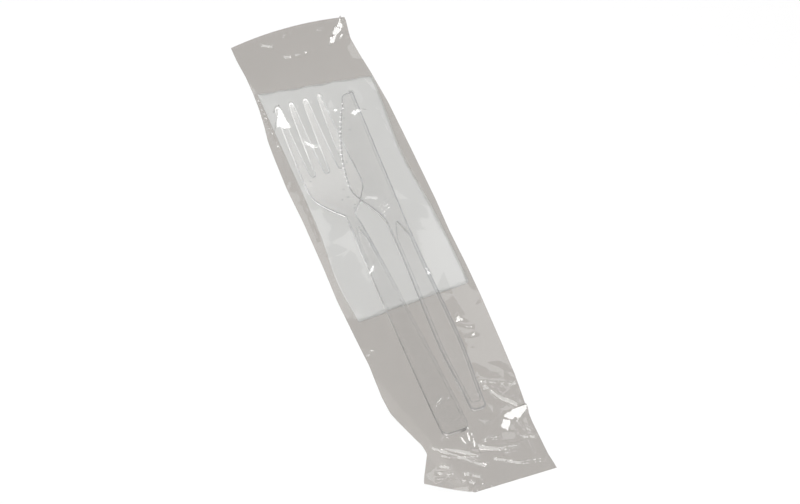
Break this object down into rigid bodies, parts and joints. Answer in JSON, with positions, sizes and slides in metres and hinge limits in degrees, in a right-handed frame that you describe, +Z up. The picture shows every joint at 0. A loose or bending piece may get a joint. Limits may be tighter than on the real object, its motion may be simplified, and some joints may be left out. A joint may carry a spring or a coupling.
{
  "type": "plastic cutlery pack",
  "caption": "Flat clear film sachet holding a clear plastic fork, a clear serrated knife and a folded white paper napkin.",
  "frame": {"origin": "under the middle of the sachet, on the surface it lies on", "axes": "+Y along the pack towards the fork's tines, +X across it from the fork to the knife, +Z up out of the front film"},
  "size_m": [0.0592, 0.2624, 0.013],
  "materials": {
    "film": "clear thin film, glossy and slightly crinkled",
    "paper": "soft matte tissue",
    "clear_plastic": "clear moulded polystyrene, glossy"
  },
  "bodies": {
    "root": {"film_sleeve": "film", "napkin": "paper", "fork": "clear_plastic", "knife": "clear_plastic"}
  },
  "joints": []
}
